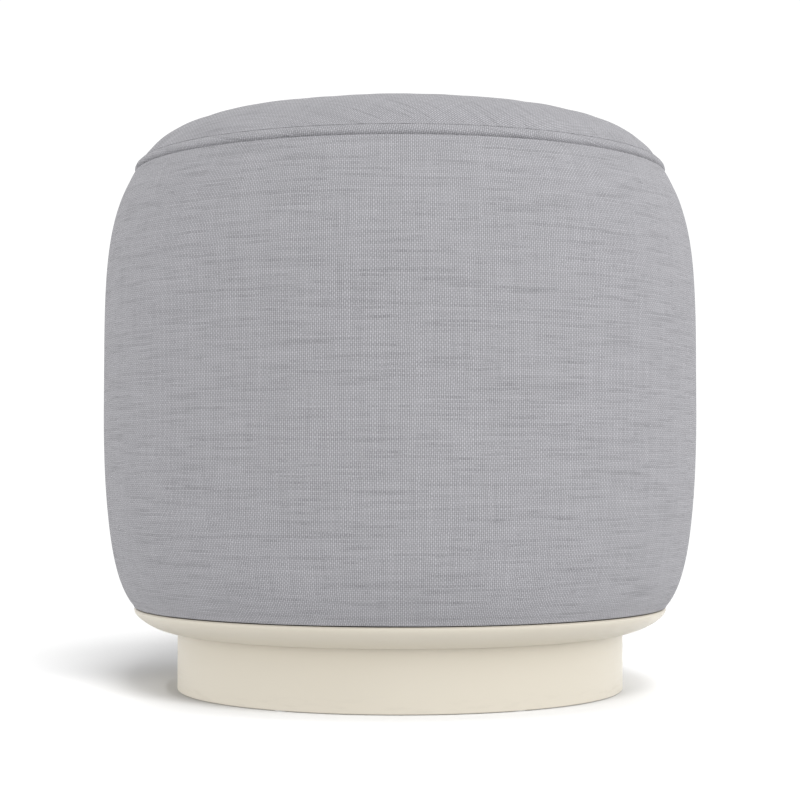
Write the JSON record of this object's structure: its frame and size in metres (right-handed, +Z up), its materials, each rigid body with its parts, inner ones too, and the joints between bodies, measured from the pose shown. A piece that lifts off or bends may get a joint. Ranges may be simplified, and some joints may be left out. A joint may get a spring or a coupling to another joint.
{
  "type": "upholstered swivel ottoman",
  "caption": "Round pouf ottoman: a cloth-covered drum with a crowned, piped top on a cream lacquered dish that swivels on a recessed round plinth.",
  "frame": {"origin": "centre of the floor face, on the swivel axis, at the height the glides stand on", "axes": "+Z up along the swivel axis; -Y is the front and +X is to the right as seen from the front; the side cover's back seam is at +Y at rest"},
  "size_m": [0.4569, 0.457, 0.44],
  "materials": {
    "upholstery_cloth": "matte",
    "cream_lacquer": "satin",
    "plywood": "matte",
    "softwood": "matte",
    "fibreboard": "matte",
    "zinc_steel": "satin",
    "polished_steel": "polished",
    "white_nylon": "satin",
    "foam": "matte",
    "batting": "matte",
    "webbing": "matte",
    "dust_cloth": "matte",
    "cord_filler": "matte",
    "sewing_thread": "matte"
  },
  "bodies": {
    "plinth": {"plinth_wall": "cream_lacquer", "plinth_top_board": "plywood", "plinth_cleats": "softwood", "cleat_screws": "zinc_steel", "floor_glides": "white_nylon", "swivel_lower_plate": "zinc_steel", "lower_plate_screws": "zinc_steel"},
    "ball_ring": {"bearing_balls": "polished_steel", "ball_cage": "white_nylon"},
    "seat": {"swivel_upper_plate": "zinc_steel", "swivel_eyelet": "zinc_steel", "upper_plate_screws": "zinc_steel", "base_dish": "cream_lacquer", "dish_bolts": "zinc_steel", "bolt_washers": "zinc_steel", "tee_nuts": "zinc_steel", "dust_cover": "dust_cloth", "frame_base_board": "plywood", "frame_posts": "softwood", "post_screws": "zinc_steel", "frame_top_ring": "plywood", "drum_wall": "fibreboard", "webbing_front_back": "webbing", "webbing_side_side": "webbing", "webbing_staples": "zinc_steel", "side_foam": "foam", "side_batting": "batting", "side_cover": "upholstery_cloth", "seat_foam": "foam", "seat_batting": "batting", "top_cover": "upholstery_cloth", "welt_cover": "upholstery_cloth", "welt_cord": "cord_filler", "seam_thread": "sewing_thread", "cover_staples": "zinc_steel"}
  },
  "joints": [
    {"name": "seat_swivel", "type": "hinge", "parent": "plinth", "child": "seat", "pos_m": [0, 0, 0.047], "axis": [0, 0, 1], "continuous": true},
    {"name": "ball_ring_turn", "type": "hinge", "parent": "plinth", "child": "ball_ring", "pos_m": [0, 0, 0.047], "axis": [0, 0, 1], "continuous": true}
  ],
  "couplings": [
    {"joint": "ball_ring_turn", "follows": "seat_swivel", "ratio": 0.5}
  ]
}
